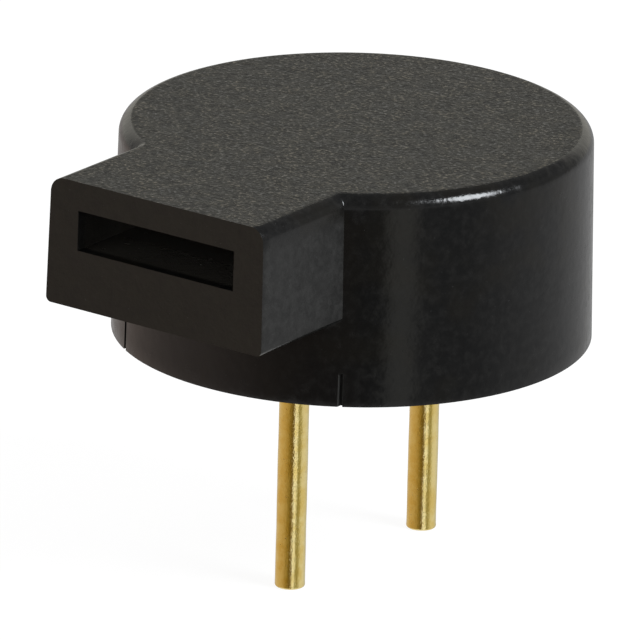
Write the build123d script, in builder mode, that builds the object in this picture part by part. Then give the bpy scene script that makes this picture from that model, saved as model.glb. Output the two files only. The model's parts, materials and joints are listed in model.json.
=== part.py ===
from build123d import *
from math import cos, radians, sin, sqrt
import os

# Side-port magnetic transducer (buzzer) on two straight pins.
# Origin: centre of the case rim, on the plane of the circuit board it is pushed down to.
# +Z goes up through the lid, the sound duct points along -Y, and the pins go down along -Z.
# All sizes are in millimetres and degrees.

# ---- driving dimensions: case ----
case_d = 12.0          # outside diameter at the rim
case_h = 5.4           # rim to lid
wall_t = 0.6           # side wall at the rim
roof_t = 0.73          # lid
draft = 1.1            # mould draft of every outside wall
edge_r = 0.38          # rounding of the lid's edge
duct_w = 6.45          # width of the duct at the lid
duct_reach = 8.25      # axis to the duct's mouth, at the lid
duct_h = 3.24          # height of the duct's block
duct_low_r = 0.15      # rounding of the duct's lower long edges
slot_w = 4.74          # sound slot
slot_h = 1.02
slit_x = 3.3           # two narrow grooves in the wall's foot, one each side of the duct
slit_w = 0.1
slit_h = 0.85
slit_d = 0.12          # depth of a groove, along the duct
shelf_w = 0.4          # inner step that the support ring is pushed against
shelf_drop = 0.1       # the step lies this far under the slot's floor

# ---- driving dimensions: base ----
fit_gap = 0.05         # radial clearance of pieces that drop into a bore
seal_recess = 0.08     # resin surface above the rim
seal_t = 0.3
seal_cover = 0.08      # resin under the solder joints
board_t = 0.6

# ---- driving dimensions: magnet system ----
yoke_t = 0.4
ring_wall = 1.0        # support ring, between case and magnet
lip_h = 0.3            # the support ring's lip stands above its ledge
lip_w = 0.35
magnet_w = 1.3         # radial width of the ring magnet
magnet_drop = 0.3      # magnet top under the top of the core
core_d = 1.8
air_gap = 0.15         # core to diaphragm
bobbin_drop = 0.15     # bobbin top under the top of the core
bobbin_t = 0.15        # bobbin tube and flanges
winding_inset = 0.1    # winding inside the flanges' edge
lead_gap = 0.35        # bobbin to magnet
diaphragm_t = 0.05
armature_d = 3.2
armature_t = 0.2

# ---- driving dimensions: terminals ----
pin_d = 0.76
pin_len = 6.2          # below the rim
pin_end_r = 0.1
pin_pitch = 5.6
pin_offset = 0.45      # middle of the pin row, from the case axis towards the back
shoulder_w = 0.03      # shoulder between the round pin and the corners of its square tail
tail_stop = 0.1        # the tail ends under the board's top face
hole_gap = 0.02        # tail corner to board hole
solder_w = 0.3         # solder outside the pin
lead_d = 0.08
lead_hole_d = 0.24
lead_angle = 20        # the lead holes lie this far round from the row of pins
lead_bend_r = 0.08
lead_float = 0.03      # resin between a lead and the board

# ---- derived: case ----
case_r = case_d / 2
bore_r = case_r - wall_t
upper_r = bore_r - shelf_w
roof_z = case_h - roof_t
slot_z = roof_z - slot_h
shelf_z = slot_z - shelf_drop

# ---- derived: base, from the rim upwards ----
seal_z = seal_recess
board_z = seal_z + seal_t
yoke_z = board_z + board_t
coil_z = yoke_z + yoke_t

# ---- derived: magnet system, from the step downwards and the bore inwards ----
ledge_z = shelf_z - lip_h
core_top = ledge_z - air_gap
magnet_top = core_top - magnet_drop
bobbin_top = core_top - bobbin_drop
fit_r = bore_r - fit_gap
magnet_r = fit_r - ring_wall - fit_gap
magnet_bore_r = magnet_r - magnet_w
core_r = core_d / 2
tube_r = core_r + bobbin_t
flange_r = magnet_bore_r - lead_gap
winding_r = flange_r - winding_inset
winding_z = coil_z + bobbin_t
winding_h = bobbin_top - bobbin_t - winding_z
diaphragm_r = fit_r - lip_w - fit_gap

# ---- derived: terminals ----
pin_r = pin_d / 2
tail_r = pin_r - shoulder_w
tail_side = tail_r * sqrt(2)
tail_top = yoke_z - tail_stop
board_hole_r = tail_r + hole_gap
solder_h = seal_t - seal_cover
solder_r = pin_r + solder_w
lead_r = lead_d / 2
lead_circle_r = flange_r + lead_gap / 2
terminals = {
    "front": (pin_offset - pin_pitch / 2, -1),
    "rear": (pin_offset + pin_pitch / 2, 1),
}


def lead_spot(side, radius):
    """Where a lead stands at this radius: side is -1 beside the front pin, 1 beside the rear pin."""
    turn = radians(lead_angle)
    return radius * sin(turn), side * radius * cos(turn)


lead_spots = [lead_spot(side, lead_circle_r) for _, side in terminals.values()]
pin_spots = [(0, y) for y, _ in terminals.values()]


# ---- case: lid, wall and sound duct in one moulding ----
with BuildPart() as case:
    with BuildSketch(Plane.XY):
        Circle(case_r)
    extrude(amount=case_h, taper=draft)
    with BuildSketch(Plane.XY.offset(case_h)):
        with Locations((0, -duct_reach / 2)):
            Rectangle(duct_w, duct_reach)
    extrude(amount=-duct_h, taper=-draft)
    lid_edges = case.faces().sort_by(Axis.Z)[-1].edges()
    mouth_edge = lid_edges.sort_by(Axis.Y)[0]
    fillet([e for e in lid_edges if e != mouth_edge], radius=edge_r)
    low_edges = (
        case.edges()
        .filter_by_position(Axis.Z, case_h - duct_h - 0.01, case_h - duct_h + 0.01)
        .filter_by(lambda e: e.geom_type == GeomType.LINE and abs(e.tangent_at(0.5).Y) > 0.9)
    )
    fillet(low_edges, radius=duct_low_r)
    with BuildSketch(Plane.XY):
        Circle(bore_r)
    extrude(amount=shelf_z, mode=Mode.SUBTRACT)
    with BuildSketch(Plane.XY.offset(shelf_z)):
        Circle(upper_r)
    extrude(amount=roof_z - shelf_z, mode=Mode.SUBTRACT)
    with BuildSketch(Plane.XY.offset(slot_z)):
        with Locations((0, -duct_reach)):
            Rectangle(slot_w, 2 * (duct_reach - upper_r / 2))
    extrude(amount=slot_h, mode=Mode.SUBTRACT)
    with BuildSketch(Plane.XY):
        slit_y = -sqrt(case_r**2 - slit_x**2) + slit_d
        with Locations((-slit_x, slit_y), (slit_x, slit_y)):
            Rectangle(slit_w, case_r, align=(Align.CENTER, Align.MAX))
    extrude(amount=slit_h, mode=Mode.SUBTRACT)

# ---- support ring: carries the diaphragm on its ledge, inside a low lip ----
with BuildPart() as support_ring:
    with BuildSketch(Plane.XY.offset(yoke_z)):
        Circle(fit_r)
        Circle(magnet_r + fit_gap, mode=Mode.SUBTRACT)
    extrude(amount=shelf_z - yoke_z)
    with BuildSketch(Plane.XY.offset(ledge_z)):
        Circle(fit_r - lip_w)
    extrude(amount=lip_h, mode=Mode.SUBTRACT)

# ---- diaphragm and the armature disc welded to its middle ----
with BuildPart() as diaphragm:
    with BuildSketch(Plane.XY.offset(ledge_z)):
        Circle(diaphragm_r)
    extrude(amount=diaphragm_t)

with BuildPart() as armature_disc:
    with BuildSketch(Plane.XY.offset(ledge_z + diaphragm_t)):
        Circle(armature_d / 2)
    extrude(amount=armature_t)

# ---- yoke plate with the core riveted in its middle ----
with BuildPart() as yoke_plate:
    with BuildSketch(Plane.XY.offset(yoke_z)):
        Circle(magnet_r)
        Circle(core_r, mode=Mode.SUBTRACT)
        with Locations(*lead_spots):
            Circle(lead_hole_d / 2, mode=Mode.SUBTRACT)
    extrude(amount=yoke_t)

with BuildPart() as core_pole:
    with BuildSketch(Plane.XY.offset(yoke_z)):
        Circle(core_r)
    extrude(amount=core_top - yoke_z)

# ---- ring magnet ----
with BuildPart() as ring_magnet:
    with BuildSketch(Plane.XY.offset(coil_z)):
        Circle(magnet_r)
        Circle(magnet_bore_r, mode=Mode.SUBTRACT)
    extrude(amount=magnet_top - coil_z)

# ---- bobbin on the core, and the winding between its flanges ----
with BuildPart() as coil_bobbin:
    with BuildSketch(Plane.XY.offset(coil_z)):
        Circle(flange_r)
        Circle(core_r, mode=Mode.SUBTRACT)
    extrude(amount=bobbin_top - coil_z)
    with BuildSketch(Plane.XY.offset(winding_z)):
        Circle(flange_r)
        Circle(tube_r, mode=Mode.SUBTRACT)
    extrude(amount=winding_h, mode=Mode.SUBTRACT)

with BuildPart() as coil_winding:
    with BuildSketch(Plane.XY.offset(winding_z)):
        Circle(winding_r)
        Circle(tube_r, mode=Mode.SUBTRACT)
    extrude(amount=winding_h)

# ---- base board ----
with BuildPart() as base_board:
    with BuildSketch(Plane.XY.offset(board_z)):
        Circle(fit_r)
        with Locations(*pin_spots):
            Circle(board_hole_r, mode=Mode.SUBTRACT)
        with Locations(*lead_spots):
            Circle(lead_hole_d / 2, mode=Mode.SUBTRACT)
    extrude(amount=board_t)

pieces = {
    "case": case,
    "support_ring": support_ring,
    "diaphragm": diaphragm,
    "armature_disc": armature_disc,
    "yoke_plate": yoke_plate,
    "core_pole": core_pole,
    "ring_magnet": ring_magnet,
    "coil_bobbin": coil_bobbin,
    "coil_winding": coil_winding,
    "base_board": base_board,
}

# ---- terminals: pin, solder joint and coil lead, once for each end of the row ----
for end, (pin_y, side) in terminals.items():
    # a round pin with a square tail, whose shoulder lies flush with the resin
    with BuildPart() as terminal_pin:
        with BuildSketch(Plane.XY.offset(-pin_len)):
            with Locations((0, pin_y)):
                Circle(pin_r)
        extrude(amount=pin_len + seal_z)
        fillet(terminal_pin.edges().sort_by(Axis.Z)[0], radius=pin_end_r)
        with BuildSketch(Plane.XY.offset(seal_z)):
            with Locations((0, pin_y)):
                Rectangle(tail_side, tail_side)
        extrude(amount=tail_top - seal_z)

    # the lead leaves the winding over the lower flange, drops through yoke and board, and
    # runs in the resin under the board as far as the pin
    start_x, start_y = lead_spot(side, winding_r)
    drop_x, drop_y = lead_spot(side, lead_circle_r)
    run = sqrt(drop_x**2 + (drop_y - pin_y) ** 2)
    stop_share = (tail_r + lead_r) / run
    end_x = drop_x * stop_share
    end_y = pin_y + (drop_y - pin_y) * stop_share
    leave_z = winding_z + lead_r
    under_z = board_z - lead_float - lead_r
    with BuildPart() as coil_lead:
        with BuildLine() as route:
            FilletPolyline(
                (start_x, start_y, leave_z),
                (drop_x, drop_y, leave_z),
                (drop_x, drop_y, under_z),
                (end_x, end_y, under_z),
                radius=lead_bend_r,
            )
        with BuildSketch(Plane(origin=route.line @ 0, z_dir=route.line % 0)):
            Circle(lead_r)
        sweep()

    with BuildPart() as solder_joint:
        with BuildSketch(Plane.XY.offset(board_z)):
            with Locations((0, pin_y)):
                Circle(solder_r)
        with BuildSketch(Plane.XY.offset(board_z - solder_h)):
            with Locations((0, pin_y)):
                Circle(pin_r)
        loft()
        add(terminal_pin.part, mode=Mode.SUBTRACT)
        add(coil_lead.part, mode=Mode.SUBTRACT)

    pieces[f"terminal_pin_{end}"] = terminal_pin
    pieces[f"coil_lead_{end}"] = coil_lead
    pieces[f"solder_joint_{end}"] = solder_joint

# ---- resin that closes the base and grips both pins ----
with BuildPart() as resin_seal:
    with BuildSketch(Plane.XY.offset(seal_z)):
        Circle(bore_r)
    extrude(amount=seal_t)
    for end in terminals:
        for kind in ("terminal_pin", "coil_lead", "solder_joint"):
            add(pieces[f"{kind}_{end}"].part, mode=Mode.SUBTRACT)
pieces["resin_seal"] = resin_seal

os.makedirs("parts", exist_ok=True)
for name, piece in pieces.items():
    piece.part.label = name
    export_step(piece.part, f"parts/{name}.step")
    size = piece.part.bounding_box().size
    print(f"{name}: {size.X:.2f} x {size.Y:.2f} x {size.Z:.2f} mm, {piece.part.volume:.3f} mm3")
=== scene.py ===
# %% [markdown]
# # A side-port magnetic buzzer
# This notebook dresses a finished construction model of a small sounder: a round black case with
# a slotted duct on its side, on two gold plated pins. The construction model is loaded first and
# stays where it is. Everything is in metres, but the sizes below are written in millimetres,
# because that is how a maker thinks about a part this small.

# %% Load the construction model
import json
from math import asin, atan2, cos, pi, radians, sin, sqrt, tan

import bmesh
import bpy
from mathutils import Matrix, Vector


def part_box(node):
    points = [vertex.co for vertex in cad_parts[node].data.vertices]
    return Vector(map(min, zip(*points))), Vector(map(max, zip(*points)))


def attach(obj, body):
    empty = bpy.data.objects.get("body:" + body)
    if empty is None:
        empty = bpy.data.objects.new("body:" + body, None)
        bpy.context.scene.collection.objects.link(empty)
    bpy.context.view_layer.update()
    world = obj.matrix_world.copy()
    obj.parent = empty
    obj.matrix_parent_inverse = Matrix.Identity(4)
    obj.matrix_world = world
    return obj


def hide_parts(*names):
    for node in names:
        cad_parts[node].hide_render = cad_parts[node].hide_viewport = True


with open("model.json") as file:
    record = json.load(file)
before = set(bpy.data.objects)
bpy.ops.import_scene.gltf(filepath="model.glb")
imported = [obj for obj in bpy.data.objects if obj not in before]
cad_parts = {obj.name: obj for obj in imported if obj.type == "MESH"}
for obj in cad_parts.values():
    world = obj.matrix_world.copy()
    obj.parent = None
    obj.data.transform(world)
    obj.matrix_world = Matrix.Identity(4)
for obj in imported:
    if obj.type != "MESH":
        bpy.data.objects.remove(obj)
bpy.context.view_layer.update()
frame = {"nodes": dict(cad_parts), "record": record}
MM = 0.001
print("nodes:", len(frame["nodes"]))

# %% [markdown]
# ## Sizes
# The overall sizes come from the construction model, so the shell that is modelled here cannot
# drift away from it. The roundings, the slot and the grooves have to be stated again.

# %% Sizes in millimetres
case_low, case_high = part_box("case")
resin_low, resin_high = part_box("resin_seal")
_, ring_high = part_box("support_ring")

DRAFT = tan(radians(1.1))
case_r = case_high.x / MM
case_h = case_high.z / MM
bore_r = resin_high.x / MM
shelf_z = ring_high.z / MM
SHELF_W, ROOF_T = 0.4, 0.73
upper_r = bore_r - SHELF_W
roof_z = case_h - ROOF_T
duct_half = 6.45 / 2
duct_h = 3.24
duct_low_z = case_h - duct_h
duct_reach = -case_low.y / MM - duct_h * DRAFT
slot_half = 4.74 / 2
slot_z = roof_z - 1.02
groove_x, groove_w, groove_h, groove_d = 3.3, 0.1, 0.85, 0.12
lid_edge_r = 0.38
duct_low_r = 0.15
corner_r = 0.004
print(f"case radius {case_r:.3f}, height {case_h:.3f}, duct reach {duct_reach:.3f} mm")

# %% [markdown]
# ## Camera
# A long lens a good way off keeps the duct's edges nearly parallel and shows the true shape.
# The camera looks from the front right, a little from above, and is rolled by a degree and a
# half. Instead of a lens shift, the camera is slid sideways in its own plane.

# %% Camera
VIEW_AZ, VIEW_EL, VIEW_ROLL = radians(35.769), radians(19.092), radians(1.4486)
VIEW_FAR = 316.19
FRAME_WIDTH = 15.9195
SENSOR = 36.0
AIM = Vector((0, 0, 2.9))
SLIDE_LEFT, SLIDE_DOWN = 0.8521, 2.5616

to_camera = Vector((sin(VIEW_AZ) * cos(VIEW_EL), -cos(VIEW_AZ) * cos(VIEW_EL), sin(VIEW_EL)))
level_right = Vector((cos(VIEW_AZ), sin(VIEW_AZ), 0))
level_up = to_camera.cross(level_right)
cam_right = level_right * cos(VIEW_ROLL) + level_up * sin(VIEW_ROLL)
cam_up = level_up * cos(VIEW_ROLL) - level_right * sin(VIEW_ROLL)
cam_at = AIM + to_camera * VIEW_FAR - cam_right * SLIDE_LEFT - cam_up * SLIDE_DOWN

cam_data = bpy.data.cameras.new("camera")
cam_data.sensor_width = SENSOR
cam_data.lens = VIEW_FAR * SENSOR / FRAME_WIDTH
cam_data.clip_start, cam_data.clip_end = 0.01, 20
camera = bpy.data.objects.new("camera", cam_data)
camera.rotation_mode = "QUATERNION"
camera.rotation_quaternion = Matrix((cam_right, cam_up, to_camera)).transposed().to_quaternion()
camera.location = cam_at * MM
bpy.context.scene.collection.objects.link(camera)
bpy.context.scene.camera = camera
print(f"lens {cam_data.lens:.0f} mm, {VIEW_FAR:.0f} mm away")

# %% [markdown]
# ## Shader sums
# Shader maths reads best as plain expressions. This small class wraps a socket: adding or
# multiplying two of them adds the Math node that does it. Any other node comes from `node`,
# which takes the type, the settings, and then the values or links of its sockets.


# %% The wire class
class Wire:
    """A socket that can stand in a Python expression."""

    SETUP = {"color_ramp": lambda node, stops: Wire.set_ramp(node, stops)}

    def __init__(self, tree, socket):
        self.tree, self.socket = tree, socket

    @staticmethod
    def set_ramp(node, stops):
        ramp = node.color_ramp
        while len(ramp.elements) > 1:
            ramp.elements.remove(ramp.elements[-1])
        for index, (place, value) in enumerate(stops):
            stop = ramp.elements[0] if index == 0 else ramp.elements.new(place)
            stop.position = place
            stop.color = (*value, 1)

    @staticmethod
    def put(tree, socket, value):
        if isinstance(value, Wire):
            tree.links.new(value.socket, socket)
        elif isinstance(value, (tuple, list)) and len(value) == 3 and socket.type == "RGBA":
            socket.default_value = (*value, 1)
        else:
            socket.default_value = value

    @classmethod
    def node(cls, tree, kind, settings=None, sockets=None, out=0):
        """Adds a node: settings first, then its sockets by name or number. Returns one output."""
        made = tree.nodes.new(kind)
        for key, value in (settings or {}).items():
            if key in cls.SETUP:
                cls.SETUP[key](made, value)
            else:
                setattr(made, key, value)
        for key, value in (sockets or {}).items():
            cls.put(tree, made.inputs[key], value)
        return cls(tree, made.outputs[out])

    def join(self, operation, first, second=0.0):
        """A Math node, or a Vector Math node where a vector or a colour takes part."""
        pair = (first, second)
        triple = any(isinstance(x, Wire) and x.socket.type in ("VECTOR", "RGBA") for x in pair)
        if triple:
            first, second = (x if isinstance(x, (Wire, tuple)) else (x, x, x) for x in pair)
        kind = "ShaderNodeVectorMath" if triple else "ShaderNodeMath"
        return Wire.node(self.tree, kind, {"operation": operation}, {0: first, 1: second})

    def __add__(self, other):
        return self.join("ADD", self, other)

    def __sub__(self, other):
        return self.join("SUBTRACT", self, other)

    def __mul__(self, other):
        return self.join("MULTIPLY", self, other)

    def __radd__(self, other):
        return self.join("ADD", other, self)

    def __rsub__(self, other):
        return self.join("SUBTRACT", other, self)

    def __rmul__(self, other):
        return self.join("MULTIPLY", other, self)

    def __abs__(self):
        return self.join("ABSOLUTE", self)

    def step(self, low, high, out_low=0.0, out_high=1.0):
        """A soft step: out_low below low, out_high above high."""
        sockets = {0: self, 1: low, 2: high, 3: out_low, 4: out_high}
        smooth = {"interpolation_type": "SMOOTHSTEP"}
        return Wire.node(self.tree, "ShaderNodeMapRange", smooth, sockets)

    def mix(self, first, second):
        """This wire is the factor: 0 gives the first colour, 1 the second."""
        sockets = {0: self, 6: first, 7: second}
        return Wire.node(self.tree, "ShaderNodeMix", {"data_type": "RGBA"}, sockets, 2)

    def split(self):
        made = Wire.node(self.tree, "ShaderNodeSeparateXYZ", None, {0: self}).socket.node
        return [Wire(self.tree, output) for output in made.outputs]


# %% [markdown]
# A finish starts the same way each time: a Principled shader, the place of the shaded point in
# millimetres, and the way the surface faces. Noise is asked for by the size of its grains.


# %% Start a finish
class Finish:
    """One material under construction."""

    def __init__(self, name, color, roughness, metallic=0.0):
        self.material = bpy.data.materials.new(name)
        self.material.use_nodes = True
        self.tree = self.material.node_tree
        self.shader = next(n for n in self.tree.nodes if n.type == "BSDF_PRINCIPLED")
        self.set("Base Color", color)
        self.set("Roughness", roughness)
        self.set("Metallic", metallic)
        self.set("IOR", 1.5)
        self.place = self.node("ShaderNodeTexCoord", out="Object") * (1 / MM)
        self.x, self.y, self.z = self.place.split()
        self.facing = self.node("ShaderNodeNewGeometry", out="Normal").split()

    def node(self, kind, settings=None, sockets=None, out=0):
        return Wire.node(self.tree, kind, settings, sockets, out)

    def set(self, name, value):
        Wire.put(self.tree, self.shader.inputs[name], value)

    def noise(self, grain, detail=2.0, stretch=(1, 1, 1), rough=0.5, seed=0.0):
        """Cloudy noise between 0 and 1, whose grains are this many millimetres across."""
        place = self.place * tuple(1 / s for s in stretch) + (seed, seed, seed)
        sockets = {"Vector": place, "Scale": 1 / grain, "Detail": detail, "Roughness": rough}
        return self.node("ShaderNodeTexNoise", None, sockets)

    def cells(self, grain, seed=0.0):
        """Distance to the middle of the nearest cell, from 0 to about 1."""
        sockets = {"Vector": self.place + (seed, seed, seed), "Scale": 1 / grain}
        return self.node("ShaderNodeTexVoronoi", None, sockets)

    def bump(self, height, depth):
        """Height from 0 to 1 becomes relief of this depth in millimetres."""
        sockets = {"Height": height, "Distance": depth * MM, "Strength": 1.0}
        self.set("Normal", self.node("ShaderNodeBump", None, sockets))
        return self.material


print("shader helpers ready")

# %% [markdown]
# ## The black plastic
# One moulding, but three skins. The lid and the duct's sides were spark eroded in the mould, so
# they are finely grained and look grey. The round wall was polished in the mould and stays
# nearly black with soft reflections. The duct's mouth is in between. The masks below follow the
# way a surface faces and where it is, so the skins run into each other at the roundings. The
# relief averages to nothing, so a mask's own edge leaves no step in it.


# %% Black plastic
def black_plastic():
    skin = Finish("case_plastic", (0.010, 0.0098, 0.0092), 0.3)
    face_x, face_y, face_z = skin.facing
    on_duct = skin.y.step(-4.80, -4.92)
    lid = face_z.step(0.955, 0.995) * skin.z.step(4.9, 5.1)
    side = abs(face_x).step(0.955, 0.999) * on_duct * skin.z.step(5.10, 4.62)
    mouth = (face_y * -1).step(0.8, 0.95) * skin.y.step(-7.9, -8.1)
    slot_painted_fill_zone = abs(skin.x).step(2.6, 2.5) * skin.z.step(3.5, 3.6) * skin.z.step(4.80, 4.72)
    inside = slot_painted_fill_zone * skin.y.step(-8.1, -7.9) * on_duct
    groove_with_painted_fill = abs(abs(skin.x) - groove_x).step(0.056, 0.052)
    groove_with_painted_fill = groove_with_painted_fill * skin.z.step(0.858, 0.853) * skin.y.step(-4.0, -4.2)

    grit = skin.noise(0.10, 3, rough=0.6)
    pits = skin.noise(0.20, 3, rough=0.6, seed=7.3)
    specks = skin.cells(0.09, seed=2.1)
    clouds = skin.noise(1.6, 2, seed=4.4)
    haze = skin.noise(0.5, 3, rough=0.6, seed=9.2)
    smudge = skin.noise(0.22, 3, rough=0.6, seed=5.7)
    patches = skin.noise(0.55, 3, rough=0.6, seed=12.6)
    dust = skin.noise(0.045, 1, seed=3.6)

    dark_pit = pits.step(0.48, 0.36)
    bright_grain = grit.step(0.50, 0.66)
    warm = clouds.step(0.45, 0.65)
    base = smudge.step(0.35, 0.70).mix((0.0045, 0.0045, 0.0045), (0.0092, 0.0090, 0.0086))
    base = (warm * 0.6).mix(base, (0.0090, 0.0078, 0.0056))
    lid_tone = patches.step(0.38, 0.62).mix((0.050, 0.0500, 0.0480), (0.090, 0.0780, 0.0560))
    lid_grain = bright_grain.mix((0.012, 0.0114, 0.0090), lid_tone)
    lid_grain = (dark_pit * 0.92).mix(lid_grain, (0.004, 0.004, 0.004))
    base = lid.mix(base, lid_grain)
    soft_haze, soft_smudge = haze.step(0.35, 0.65), smudge.step(0.4, 0.6)
    side_mottle = 0.3 * bright_grain + 0.3 * soft_haze + 0.4 * soft_smudge
    base = side.mix(base, side_mottle.mix((0.0115, 0.0112, 0.0106), (0.0260, 0.0254, 0.0240)))
    mouth_mottle = 0.5 * soft_haze + 0.5 * soft_smudge
    base = mouth.mix(base, mouth_mottle.mix((0.0062, 0.0048, 0.0012), (0.0130, 0.0104, 0.0042)))
    # Painted fill light: the slot's inside is coloured lighter than the case round it, and lighter
    # still towards its back, in place of light reaching into the passage.
    depth = skin.y.step(-8.1, -5.6)
    base = inside.mix(base, depth.mix((0.030, 0.028, 0.024), (0.12, 0.113, 0.10)))
    # Painted fill light: the grooves are coloured lighter than the wall round them, to make up for
    # the shade that falls in them.
    base = groove_with_painted_fill.mix(base, (0.022, 0.021, 0.019))
    base = (dust.step(0.79, 0.83) * 0.35).mix(base, (0.22, 0.22, 0.22))
    skin.set("Base Color", base)

    rough = 0.11 + 0.10 * haze + 0.12 * smudge.step(0.45, 0.75)
    rough = rough + lid * (0.34 - 0.12 * bright_grain)
    rough = rough + side * 0.30 + mouth * 0.26 + groove_with_painted_fill * 0.4
    skin.set("Roughness", rough)

    grain = grit * 0.6 + pits * 0.9 + specks * 0.25
    on_edge = (face_z * (1 - face_z)).step(0.12, 0.22)
    relief = (grain - 0.86) * (lid * 1.9 + side * 0.7 + mouth * 0.35 + on_edge * 0.3)
    ripple = haze * 0.55 + smudge * 0.22 + clouds * 0.6 - 0.68
    return skin.bump(relief + ripple * (1 - lid), 0.016)


case_plastic = black_plastic()
print("made", case_plastic.name)

# %% [markdown]
# ## Gold plated wire
# The pins are drawn wire, cut to length and plated. Drawing leaves fine lines along the wire,
# and plating keeps them, so the noise is stretched far along Z. A few darker spots and a slight
# change of tone keep the metal from looking like a perfect mirror.


# %% Gold plating
def gold_plating():
    skin = Finish("gold_plating", (0.90, 0.69, 0.28), 0.2, metallic=1.0)
    lines = skin.noise(0.05, 3, stretch=(1, 1, 60), seed=1.7)
    waves = skin.noise(0.45, 2, stretch=(1, 1, 2.2), seed=3.3)
    spots = skin.noise(0.09, 2, rough=0.6, seed=8.1)
    blotch = skin.noise(0.35, 3, rough=0.6, seed=2.2)
    crumbs = skin.noise(0.07, 3, rough=0.7, seed=6.6)
    dull = spots.step(0.64, 0.72)
    tone = blotch.step(0.35, 0.7).mix((0.94, 0.79, 0.39), (0.87, 0.67, 0.24))
    tone = (dull * 0.4).mix(tone, (0.45, 0.27, 0.08))
    skin.set("Base Color", tone)
    skin.set("Roughness", 0.07 + 0.08 * lines + 0.08 * blotch + 0.2 * dull)
    return skin.bump(lines * 0.25 + waves * 1.4 + crumbs * 1.1, 0.009)


gold = gold_plating()
print("made", gold.name)

# %% [markdown]
# ## Finishes of the pieces inside
# Nothing of the works can be seen from outside, but an opened part should still look right. Each
# finish is built from the mark that its making leaves: rolling lines on strip, turns on a coil,
# fibres in laminate, flow marks in resin.


# %% Rolled and blanked metal
def rolled_metal(name, color, dark, roughness, line=0.03):
    skin = Finish(name, color, roughness, metallic=1.0)
    lines = skin.noise(line, 2, stretch=(30, 1, 1), seed=2.6)
    tarnish = skin.noise(0.7, 3, rough=0.6, seed=6.4)
    skin.set("Base Color", tarnish.step(0.45, 0.75).mix(color, dark))
    skin.set("Roughness", roughness + 0.15 * lines + 0.1 * tarnish)
    return skin.bump(lines, 0.002)


foil = rolled_metal("diaphragm_alloy", (0.62, 0.60, 0.55), (0.50, 0.46, 0.38), 0.22)
iron = rolled_metal("plain_steel", (0.50, 0.50, 0.50), (0.34, 0.31, 0.28), 0.35, 0.05)
plated = rolled_metal("plated_steel", (0.66, 0.64, 0.58), (0.52, 0.49, 0.42), 0.25, 0.04)
print("made", foil.name, iron.name, plated.name)


# %% Ferrite
def sintered_ferrite():
    skin = Finish("ferrite", (0.035, 0.036, 0.040), 0.55)
    grain = skin.noise(0.06, 3, rough=0.7)
    chips = skin.cells(0.4, seed=3.0)
    skin.set("Base Color", grain.step(0.4, 0.7).mix((0.022, 0.022, 0.025), (0.065, 0.066, 0.072)))
    skin.set("Roughness", 0.45 + 0.3 * grain)
    return skin.bump(grain + chips.step(0.1, 0.0) * 0.8, 0.01)


# %% Enamelled copper
def enamelled_copper():
    skin = Finish("enamelled_copper", (0.62, 0.24, 0.09), 0.25, metallic=1.0)
    wave = {"wave_type": "BANDS", "bands_direction": "Z", "wave_profile": "SIN"}
    turns = skin.node("ShaderNodeTexWave", wave, {"Vector": skin.place, "Scale": 2.0}, 1)
    varnish = skin.noise(0.4, 2, seed=5.0)
    skin.set("Base Color", varnish.step(0.3, 0.7).mix((0.68, 0.27, 0.10), (0.46, 0.15, 0.05)))
    skin.set("Roughness", 0.2 + 0.2 * varnish)
    skin.set("Coat Weight", 0.6)
    return skin.bump(turns, 0.02)


# %% Laminate, nylon, solder and resin
def board_laminate():
    skin = Finish("board_laminate", (0.30, 0.17, 0.07), 0.5)
    fibres = skin.noise(0.12, 3, stretch=(6, 1, 1), rough=0.6)
    cross = skin.noise(0.12, 3, stretch=(1, 6, 1), rough=0.6, seed=4.0)
    weave = (fibres + cross) * 0.5
    skin.set("Base Color", weave.step(0.4, 0.62).mix((0.25, 0.13, 0.05), (0.40, 0.25, 0.11)))
    skin.set("Roughness", 0.4 + 0.25 * weave)
    return skin.bump(weave, 0.01)


def moulded_plastic(name, dark, light, roughness):
    skin = Finish(name, dark, roughness)
    flow = skin.noise(0.8, 3, stretch=(1, 1, 2), rough=0.55, seed=1.1)
    grain = skin.noise(0.05, 2, seed=6.0)
    skin.set("Base Color", flow.step(0.35, 0.7).mix(dark, light))
    skin.set("Roughness", roughness + 0.15 * grain)
    return skin.bump(grain * 0.6 + flow, 0.004)


def bright_solder():
    skin = Finish("solder", (0.72, 0.72, 0.74), 0.25, metallic=1.0)
    frost = skin.noise(0.08, 3, rough=0.65)
    skin.set("Base Color", frost.step(0.4, 0.7).mix((0.78, 0.78, 0.79), (0.55, 0.55, 0.58)))
    skin.set("Roughness", 0.15 + 0.35 * frost)
    return skin.bump(frost, 0.006)


def cast_resin():
    skin = Finish("resin", (0.014, 0.014, 0.015), 0.16)
    sag = skin.noise(1.8, 2, seed=3.9)
    dust = skin.noise(0.07, 2, rough=0.7, seed=8.8)
    specks = dust.step(0.70, 0.78)
    skin.set("Base Color", (specks * 0.6).mix((0.013, 0.013, 0.014), (0.10, 0.10, 0.10)))
    skin.set("Roughness", 0.10 + 0.12 * sag + 0.4 * specks)
    return skin.bump(sag * 5 + specks * 0.3, 0.02)


BLACK_NYLON = (0.020, 0.020, 0.020), (0.034, 0.033, 0.032)
NATURAL_NYLON = (0.66, 0.64, 0.57), (0.78, 0.76, 0.70)
finishes = {
    "ring_plastic": moulded_plastic("ring_plastic", *BLACK_NYLON, 0.4),
    "bobbin_plastic": moulded_plastic("bobbin_plastic", *NATURAL_NYLON, 0.4),
    "diaphragm_alloy": foil,
    "plain_steel": iron,
    "plated_steel": plated,
    "ferrite": sintered_ferrite(),
    "enamelled_copper": enamelled_copper(),
    "board_laminate": board_laminate(),
    "gold_plating": gold,
    "solder": bright_solder(),
    "resin": cast_resin(),
    "case_plastic": case_plastic,
}
print("finishes:", len(finishes))

# %% Dress the construction nodes
slot_of = {part["node"]: part["material_slot"] for part in frame["record"]["subparts"]}
for name, node in frame["nodes"].items():
    node.data.materials.clear()
    node.data.materials.append(finishes[slot_of[name]])
print("dressed", len(slot_of), "nodes")

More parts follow.
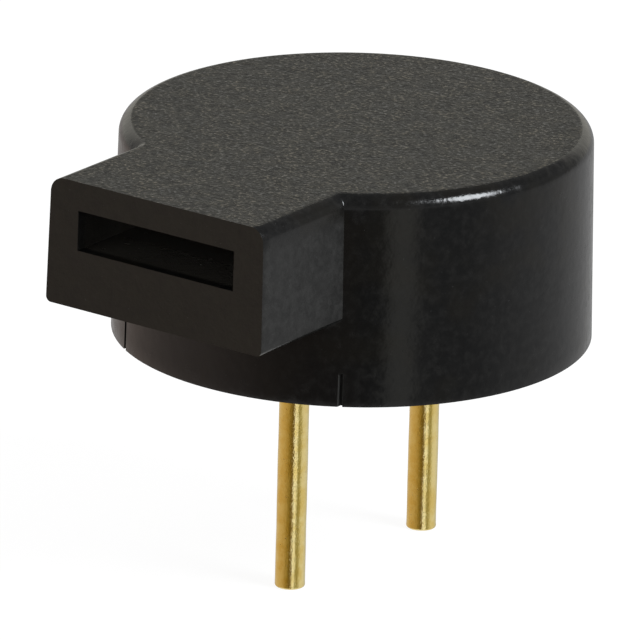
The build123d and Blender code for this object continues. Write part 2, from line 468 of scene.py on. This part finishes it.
# %% [markdown]
# ## The case, as a shell of rings
# The case is a drafted drum with a drafted block on its front. Its outline at any height is a
# line along the duct's side, a small concave corner, the long arc of the drum, and the same
# again mirrored. So the shell is a stack of such outlines. Rounding an edge means pulling the
# outline in as it climbs. The duct's mouth is cut flat, so the front line is never pulled in.
# The concave corner grows by the same amount, as a moulder's cutter would leave it.

# %% One outline
SIDE_STEPS, CORNER_STEPS, DRUM_STEPS, FRONT_STEPS = 10, 6, 180, 40
LOW_EDGE_STEPS, WALL_STEPS, LID_EDGE_STEPS = 6, 6, 14


def outline(z, inset_side=0.0, inset_drum=0.0):
    """Points at height z, from the mouth's right corner round the back to its left corner."""
    half = duct_half + (case_h - z) * DRAFT - inset_side
    drum = case_r - z * DRAFT - inset_drum
    front = -(duct_reach + (case_h - z) * DRAFT)
    corner = corner_r + min(inset_side, inset_drum)
    centre_x = half + corner
    centre_y = -sqrt((drum + corner) ** 2 - centre_x**2)
    side = [(half, front + (centre_y - front) * k / SIDE_STEPS) for k in range(SIDE_STEPS)]
    turn = atan2(-centre_y, -centre_x)
    concave = []
    for k in range(CORNER_STEPS + 1):
        angle = pi + (turn - pi) * k / CORNER_STEPS
        concave.append((centre_x + corner * cos(angle), centre_y + corner * sin(angle)))
    start = atan2(centre_y, centre_x)
    arc = []
    for k in range(1, DRUM_STEPS):
        angle = start + (pi - 2 * start) * k / DRUM_STEPS
        arc.append((drum * cos(angle), drum * sin(angle)))
    right = side + concave
    left = [(-x, y) for x, y in reversed(right)]
    return [Vector((x, y, z)) for x, y in right + arc + left]


print("points in an outline:", len(outline(case_h)))


# %% The solid shell
def outer_shell():
    """The case's outside as one closed skin, with no openings yet."""
    levels = []
    for k in range(LOW_EDGE_STEPS + 1):
        turn = k / LOW_EDGE_STEPS * pi / 2
        z = duct_low_z + duct_low_r * (1 - cos(turn))
        levels.append((z, duct_low_r * (1 - sin(turn)), 0.0))
    low, high = duct_low_z + duct_low_r, case_h - lid_edge_r
    levels += [(low + (high - low) * k / WALL_STEPS, 0.0, 0.0) for k in range(1, WALL_STEPS)]
    for k in range(LID_EDGE_STEPS + 1):
        turn = k / LID_EDGE_STEPS * pi / 2
        pull = lid_edge_r * (1 - cos(turn))
        levels.append((high + lid_edge_r * sin(turn), pull, pull))

    mesh = bmesh.new()
    rings = [[mesh.verts.new(p) for p in outline(*level)] for level in levels]
    for lower, upper in zip(rings, rings[1:]):
        for k in range(len(lower) - 1):
            mesh.faces.new((lower[k], lower[k + 1], upper[k + 1], upper[k]))
    mesh.faces.new(rings[-1])
    mesh.faces.new([ring[0] for ring in rings] + [ring[-1] for ring in reversed(rings)])

    # the drum goes on below the duct, where its outline is the full circle
    first = SIDE_STEPS + CORNER_STEPS
    drum_part = rings[0][first : len(rings[0]) - first]
    start = drum_part[0].co
    half_gap = pi / 2 - atan2(-start.y, start.x)
    radius = case_r - duct_low_z * DRAFT
    front_arc = []
    for k in range(1, FRONT_STEPS):
        angle = -pi / 2 - half_gap + 2 * half_gap * k / FRONT_STEPS
        front_arc.append(mesh.verts.new((radius * cos(angle), radius * sin(angle), duct_low_z)))
    top_ring = drum_part + front_arc
    duct_floor = rings[0][: first + 1] + list(reversed(front_arc)) + rings[0][-first - 1 :]
    mesh.faces.new(duct_floor)

    above = top_ring
    for k in range(1, WALL_STEPS + 1):
        z = duct_low_z * (1 - k / WALL_STEPS)
        grow = (case_r - z * DRAFT) / radius
        ring = [mesh.verts.new((v.co.x * grow, v.co.y * grow, z)) for v in top_ring]
        for j in range(len(ring)):
            n = (j + 1) % len(ring)
            mesh.faces.new((ring[j], ring[n], above[n], above[j]))
        above = ring
    mesh.faces.new(list(reversed(above)))
    bmesh.ops.recalc_face_normals(mesh, faces=mesh.faces)
    return mesh


def to_object(mesh, name):
    """Scales millimetres to metres and links the mesh as an object."""
    bmesh.ops.scale(mesh, vec=(MM, MM, MM), verts=mesh.verts)
    data = bpy.data.meshes.new(name)
    mesh.to_mesh(data)
    mesh.free()
    made = bpy.data.objects.new(name, data)
    bpy.context.scene.collection.objects.link(made)
    return made


case_shell = to_object(outer_shell(), "case_shell")
print("shell faces before cutting:", len(case_shell.data.polygons))

# %% [markdown]
# ## Cutting the openings
# The stepped bore, the sound passage and two shallow grooves are taken out with boolean
# modifiers. Modelling them into the rings by hand would spoil the even rings, and a boolean on
# two clean closed solids gives exact edges.


# %% Cutters
def lathe(profile, steps):
    """A closed solid turned from a profile of (radius, height), which ends on the axis."""
    mesh = bmesh.new()
    bottom = mesh.verts.new((0, 0, profile[0][1]))
    top = mesh.verts.new((0, 0, profile[-1][1]))
    rings = []
    for r, z in profile[1:-1]:
        angles = [2 * pi * k / steps for k in range(steps)]
        rings.append([mesh.verts.new((r * cos(a), r * sin(a), z)) for a in angles])
    for lower, upper in zip(rings, rings[1:]):
        for k in range(steps):
            n = (k + 1) % steps
            mesh.faces.new((lower[k], lower[n], upper[n], upper[k]))
    for k in range(steps):
        n = (k + 1) % steps
        mesh.faces.new((bottom, rings[0][n], rings[0][k]))
        mesh.faces.new((top, rings[-1][k], rings[-1][n]))
    return mesh


def block(low, high):
    """A box between two corners."""
    mesh = bmesh.new()
    ends = list(zip(low, high))
    corners = [mesh.verts.new((x, y, z)) for x in ends[0] for y in ends[1] for z in ends[2]]
    left, right = (0, 1, 3, 2), (4, 6, 7, 5)
    front, back = (0, 4, 5, 1), (2, 3, 7, 6)
    under, over = (0, 2, 6, 4), (1, 5, 7, 3)
    for face in (left, right, front, back, under, over):
        mesh.faces.new([corners[i] for i in face])
    bmesh.ops.recalc_face_normals(mesh, faces=mesh.faces)
    return mesh


def bake_modifiers(piece):
    """Replaces a piece's mesh by its modified mesh."""
    graph = bpy.context.evaluated_depsgraph_get()
    data = bpy.data.meshes.new_from_object(piece.evaluated_get(graph))
    piece.modifiers.clear()
    piece.data = data


def cut(piece, *cutters):
    """Takes each cutter's solid out of the piece."""
    for number, mesh in enumerate(cutters):
        tool = to_object(mesh, f"cutter_{number}")
        modifier = piece.modifiers.new("cut", "BOOLEAN")
        modifier.operation, modifier.solver, modifier.object = "DIFFERENCE", "EXACT", tool
        bake_modifiers(piece)
        bpy.data.objects.remove(tool)


# %% Open the case
BELOW = 1.0
ROOF_GAP = 1e-4
bore_profile = [
    (0, -BELOW),
    (bore_r, -BELOW),
    (bore_r, shelf_z),
    (upper_r, shelf_z),
    (upper_r, roof_z),
    (0, roof_z),
]
slot_front, slot_back = -duct_reach - BELOW, -upper_r / 2
passage = block((-slot_half, slot_front, slot_z), (slot_half, slot_back, roof_z - ROOF_GAP))
groove_floor = -sqrt(case_r**2 - groove_x**2) + groove_d
grooves = []
for x in (-groove_x, groove_x):
    low = (x - groove_w / 2, -case_r - BELOW, -BELOW)
    grooves.append(block(low, (x + groove_w / 2, groove_floor, groove_h)))
cut(case_shell, lathe(bore_profile, 192), passage)
print("shell faces after cutting:", len(case_shell.data.polygons))

# %% [markdown]
# No moulded edge is knife sharp. A bevel of about a twentieth of a millimetre catches the light
# along the mouth, the slot and the rim. The grooves are cut after it, because they are too thin
# to be bevelled. Weighted normals keep the big flat faces flat.


# %% Break the edges
def smooth_piece(piece, crease):
    """Smooth shading, sharp at creases, with flat faces kept flat."""
    for polygon in piece.data.polygons:
        polygon.use_smooth = True
    piece.data.set_sharp_from_angle(angle=radians(crease))
    weighted = piece.modifiers.new("flat_faces", "WEIGHTED_NORMAL")
    weighted.keep_sharp = True


def break_edges(piece, width):
    """Bevels every edge that turns by more than 40 degrees."""
    bevel = piece.modifiers.new("broken_edges", "BEVEL")
    bevel.width, bevel.segments = width * MM, 2
    bevel.limit_method, bevel.angle_limit = "ANGLE", radians(40)
    bevel.use_clamp_overlap = True
    bake_modifiers(piece)


BROKEN_EDGE = 0.045
break_edges(case_shell, BROKEN_EDGE)
cut(case_shell, *grooves)
smooth_piece(case_shell, 35)
case_shell.data.materials.clear()
case_shell.data.materials.append(case_plastic)
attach(case_shell, "root")
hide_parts("case")
print("case triangles:", sum(len(p.vertices) - 2 for p in case_shell.data.polygons))

# %% [markdown]
# ## The pins
# A pin is drawn wire, so it is turned from a profile: a cut end with a rolled-over edge, a long
# straight shank that is not perfectly straight, and a square tail that the resin hides. The
# shank's rings are spaced closely enough that a slight waviness in its radius shows up in its
# reflections, as it does on real wire.

# %% Pin sizes
pin_boxes = {end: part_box(f"terminal_pin_{end}") for end in ("front", "rear")}
seal_z = resin_low.z / MM
END_ROUND = 0.06
DIP, DIP_EDGE = 0.012, 0.006
SLACK = 0.004
TAIL_HALF = 0.2475
PIN_STEPS, END_STEPS, SHANK_STEPS = 64, 6, 90


# %% Turn the pins
def pin_profile(radius, length, phase):
    """Radius and height of every ring of a pin, from its cut end to the resin."""
    profile = [(radius * 0.35, DIP_EDGE), (radius - END_ROUND, 0.0)]
    for k in range(1, END_STEPS + 1):
        turn = k / END_STEPS * pi / 2
        profile.append((radius - END_ROUND * (1 - sin(turn)), END_ROUND * (1 - cos(turn))))
    for k in range(1, SHANK_STEPS + 1):
        h = END_ROUND + (length - END_ROUND) * k / SHANK_STEPS
        wave = 0.0022 * sin(2.1 * h + phase) + 0.0013 * sin(5.3 * h + 2 * phase)
        profile.append((radius - SLACK + (wave if k < SHANK_STEPS else 0), h))
    return profile


def turned_pin(end):
    """One pin: square tail, round shank and a rounded cut end."""
    low, high = (corner / MM for corner in pin_boxes[end])
    axis_x, axis_y = (low.x + high.x) / 2, (low.y + high.y) / 2
    radius = (high.x - low.x) / 2
    phase = 1.3 if end == "front" else 4.1
    angles = [2 * pi * k / PIN_STEPS + pi / PIN_STEPS for k in range(PIN_STEPS)]
    mesh = bmesh.new()

    def ring(reach, z):
        """One ring of points, whose distance from the axis depends on the angle."""
        return [mesh.verts.new((axis_x + reach(a) * cos(a), axis_y + reach(a) * sin(a), z))
                for a in angles]

    tip = mesh.verts.new((axis_x, axis_y, low.z + DIP))
    rings = [ring(lambda a: r, low.z + h) for r, h in pin_profile(radius, seal_z - low.z, phase)]
    # the shoulder narrows to the square tail
    for z in (seal_z, high.z):
        rings.append(ring(lambda a: TAIL_HALF / max(abs(cos(a)), abs(sin(a))), z))
    for k in range(PIN_STEPS):
        mesh.faces.new((tip, rings[0][(k + 1) % PIN_STEPS], rings[0][k]))
    for lower, upper in zip(rings, rings[1:]):
        for k in range(PIN_STEPS):
            n = (k + 1) % PIN_STEPS
            mesh.faces.new((lower[k], lower[n], upper[n], upper[k]))
    mesh.faces.new(rings[-1])
    bmesh.ops.recalc_face_normals(mesh, faces=mesh.faces)
    pin = to_object(mesh, f"gold_pin_{end}")
    for polygon in pin.data.polygons:
        polygon.use_smooth = True
    pin.data.set_sharp_from_angle(angle=radians(40))
    pin.data.materials.append(gold)
    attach(pin, "root")
    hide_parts(f"terminal_pin_{end}")
    return pin


pins = [turned_pin(end) for end in pin_boxes]
print("pins:", [pin.name for pin in pins])

# %% [markdown]
# ## Floor and light
# The surroundings look white to the camera. To the shiny pieces they look like a small studio
# instead: pale behind and beside the part, darker towards the front, with a narrow bright strip
# that draws the soft band of light down the round wall. A softbox on the right draws the glint
# on the lid's edge. All of it is fixed in the room, so every view sees the same studio.


# %% Studio surroundings
WARM, COOL, PALE = (1.16, 0.96, 0.85), (1.0, 1.0, 1.0), (1.0, 0.99, 0.92)
STUDIO_LIGHT = [
    (0.0, 0.44, COOL), (0.14, 0.42, WARM), (0.20, 0.42, WARM), (0.30, 0.36, WARM),
    (0.41, 0.125, WARM), (0.46, 0.09, WARM), (0.541, 0.080, COOL), (0.552, 0.50, PALE),
    (0.578, 0.49, PALE), (0.592, 0.155, COOL), (0.66, 0.17, COOL), (0.72, 0.30, COOL),
    (0.85, 0.44, COOL), (1.0, 0.44, COOL),
]


def turn_round(tree, way):
    """Where a direction lies round Z: 0 and 1 behind, 0.5 ahead. Also how far ahead it points."""
    dots = []
    for axis in (tuple(level_right), (sin(VIEW_AZ), -cos(VIEW_AZ), 0)):
        dot = {"operation": "DOT_PRODUCT"}
        dots.append(Wire.node(tree, "ShaderNodeVectorMath", dot, {0: way, 1: axis}, 1))
    across, ahead = dots
    return across.join("ARCTAN2", across, ahead) * (1 / (2 * pi)) + 0.5, ahead


def studio_world():
    """White to the camera, pale grey for plain light, and graded for reflections."""
    world = bpy.data.worlds.new("studio")
    world.use_nodes = True
    tree = world.node_tree
    back = next(n for n in tree.nodes if n.type == "BACKGROUND")
    ray = tree.nodes.new("ShaderNodeLightPath")
    way = Wire.node(tree, "ShaderNodeTexCoord", None, None, "Generated")
    height = way.split()[2]
    turn, ahead = turn_round(tree, way)
    stops = [(place, tuple(level * c for c in tint)) for place, level, tint in STUDIO_LIGHT]
    low_ring = Wire.node(tree, "ShaderNodeValToRGB", {"color_ramp": stops}, {0: turn})
    high_dome = ahead.step(-0.7, 0.3, 0.15, 0.12)
    skyline = ahead.step(-0.60, -0.93).mix((0.20, 0.20, 0.20), (0.70, 0.68, 0.61))
    horizon = height.step(-0.10, 0.02) * height.step(0.24, 0.10) * ahead.step(0.2, 0.8) * 0.12
    shine = height.step(-0.12, 0.08).mix(low_ring, skyline)
    shine = height.step(0.40, 0.56).mix(shine, high_dome) + horizon
    shine = height.step(-0.50, -0.80).mix(shine, (0.85, 0.85, 0.84))
    glossy = Wire(tree, ray.outputs["Is Glossy Ray"])
    seen = Wire(tree, ray.outputs["Is Camera Ray"])
    seen = seen + Wire(tree, ray.outputs["Is Transmission Ray"])
    level = glossy.mix((0.5, 0.5, 0.5), shine)
    level = seen.mix(level, (1, 1, 1))
    tree.links.new(level.socket, back.inputs["Color"])
    bpy.context.scene.world = world


studio_world()
print("light stops in the studio:", len(STUDIO_LIGHT))


# %% Lamps
def lamp(name, azimuth, elevation, far, size, power, glossy=True, color=(1, 1, 1)):
    """An area lamp that faces the part. Azimuth is counted from the camera's side to the right."""
    data = bpy.data.lights.new(name, "AREA")
    data.shape, data.size = "DISK", size * MM
    data.energy, data.color = power, color
    made = bpy.data.objects.new(name, data)
    a = VIEW_AZ + radians(azimuth)
    e = radians(elevation)
    way = Vector((sin(a) * cos(e), -cos(a) * cos(e), sin(e)))
    made.location = way * far * MM
    made.rotation_mode = "QUATERNION"
    made.rotation_quaternion = way.to_track_quat("Z", "Y")
    made.visible_glossy = glossy
    bpy.context.scene.collection.objects.link(made)


lamp("softbox_right", 62, 36.5, 160, 74, 0.23, color=(0.92, 0.96, 1.0))
lamp("overhead", -150, 70, 260, 220, 0.10, glossy=False)
lamp("fill_left", -60, 35, 260, 160, 0.05, glossy=False)


# %% [markdown]
# A pin is a small round mirror, and it shows what stands close to it: the white bench in front,
# paler bench to the right, and a warm dim side on the left. Each pin gets a thin glowing sleeve
# for
# that, which only reflections see: it paints the pins' reflections, with a dark line and a bright
# streak down their front. It faces inwards, so nothing else is lit by it.

# %% Glowing sleeve round each pin
SLEEVE_R, SLEEVE_STEPS = 1.9, 96
SLEEVE_BELOW, SLEEVE_TOP = 1.5, -0.05
# Painted reflections: the glow round each sleeve, which the pin mirrors, with a dark line and a
# white streak near the front.
SLEEVE_LIGHT = [
    (0.0, (0.60, 0.56, 0.50)), (0.12, (0.62, 0.52, 0.40)), (0.24, (0.56, 0.42, 0.23)),
    (0.32, (0.50, 0.37, 0.18)), (0.378, (0.42, 0.30, 0.12)), (0.43, (0.28, 0.195, 0.05)),
    (0.470, (0.15, 0.10, 0.02)), (0.520, (0.13, 0.09, 0.015)), (0.528, (1.0, 1.0, 1.0)),
    (0.562, (1.0, 1.0, 1.0)), (0.585, (0.52, 0.50, 0.38)), (0.608, (0.25, 0.22, 0.07)),
    (0.635, (0.26, 0.23, 0.08)),
    (0.670, (0.60, 0.57, 0.42)), (0.70, (0.68, 0.65, 0.56)), (0.78, (0.68, 0.66, 0.60)),
    (0.87, (0.56, 0.57, 0.56)), (1.0, (0.60, 0.56, 0.50)),
]


def glowing_reflection_sleeve(end):
    """A short glowing tube round a pin, seen only by glossy rays and only from inside, which
    paints the pin's reflections.
    """
    low, high = (corner / MM for corner in pin_boxes[end])
    axis = Vector(((low.x + high.x) / 2, (low.y + high.y) / 2, 0))
    mesh = bmesh.new()
    turns = [2 * pi * k / SLEEVE_STEPS for k in range(SLEEVE_STEPS)]
    rings = []
    for z in (low.z - SLEEVE_BELOW, SLEEVE_TOP):
        rings.append([mesh.verts.new((SLEEVE_R * cos(a), SLEEVE_R * sin(a), z)) for a in turns])
    for k in range(SLEEVE_STEPS):
        n = (k + 1) % SLEEVE_STEPS
        mesh.faces.new((rings[0][k], rings[1][k], rings[1][n], rings[0][n]))
    sleeve = to_object(mesh, f"glowing_reflection_sleeve_{end}")
    sleeve.location = axis * MM
    glowing_paper = bpy.data.materials.new(f"paper_{end}")
    glowing_paper.use_nodes = True
    tree = glowing_paper.node_tree
    tree.nodes.clear()
    place = Wire.node(tree, "ShaderNodeTexCoord", None, None, "Object")
    turn, _ = turn_round(tree, place)
    light = Wire.node(tree, "ShaderNodeValToRGB", {"color_ramp": SLEEVE_LIGHT}, {0: turn})
    glow = Wire.node(tree, "ShaderNodeEmission", None, {0: light})
    clear = Wire.node(tree, "ShaderNodeBsdfTransparent", None, {0: (1, 1, 1)})
    outer = Wire.node(tree, "ShaderNodeNewGeometry", None, None, "Backfacing")
    both = Wire.node(tree, "ShaderNodeMixShader", None, {0: outer, 1: glow, 2: clear})
    output = tree.nodes.new("ShaderNodeOutputMaterial")
    tree.links.new(both.socket, output.inputs["Surface"])
    sleeve.data.materials.append(glowing_paper)
    sleeve.visible_camera = sleeve.visible_diffuse = sleeve.visible_shadow = False
    sleeve.visible_transmission = sleeve.visible_volume_scatter = False


for end in pin_boxes:
    glowing_reflection_sleeve(end)
print("paper sleeves ready")

# %% [markdown]
# The floor is a big sheet of paper just under the pins' ends. It glows for the camera, so it is
# as white as the background and still takes a faint shadow. It is clear from below, so that the
# resin side can be looked at too.

# %% Floor
FLOOR_HALF, FLOOR_GAP = 900, 0.002


def pale_floor():
    """White from above and clear from below, with a faint shadow, and not mirrored in the pins."""
    mesh = bmesh.new()
    z = min(low.z for low, _ in pin_boxes.values()) / MM - FLOOR_GAP
    signs = ((-1, -1), (1, -1), (1, 1), (-1, 1))
    mesh.faces.new([mesh.verts.new((FLOOR_HALF * x, FLOOR_HALF * y, z)) for x, y in signs])
    floor = to_object(mesh, "floor")
    glowing_paper = bpy.data.materials.new("floor_paper")
    glowing_paper.use_nodes = True
    tree = glowing_paper.node_tree
    shader = next(n for n in tree.nodes if n.type == "BSDF_PRINCIPLED")
    shader.inputs["Base Color"].default_value = (0.13, 0.13, 0.13, 1)
    shader.inputs["Roughness"].default_value = 0.9
    shader.inputs["Specular IOR Level"].default_value = 0.0
    ray = tree.nodes.new("ShaderNodeLightPath")
    seen = Wire(tree, ray.outputs["Is Camera Ray"])
    shader.inputs["Emission Color"].default_value = (1, 1, 1, 1)
    tree.links.new((seen * 0.92).socket, shader.inputs["Emission Strength"])
    under = Wire.node(tree, "ShaderNodeNewGeometry", None, None, "Backfacing")
    clear = Wire.node(tree, "ShaderNodeBsdfTransparent", None, {0: (1, 1, 1)})
    lit = Wire(tree, shader.outputs[0])
    both = Wire.node(tree, "ShaderNodeMixShader", None, {0: under, 1: lit, 2: clear})
    output = next(n for n in tree.nodes if n.type == "OUTPUT_MATERIAL")
    tree.links.new(both.socket, output.inputs["Surface"])
    floor.data.materials.append(glowing_paper)
    floor.visible_glossy = False


pale_floor()
bpy.context.scene.view_settings.view_transform = "Standard"
print("stage ready")
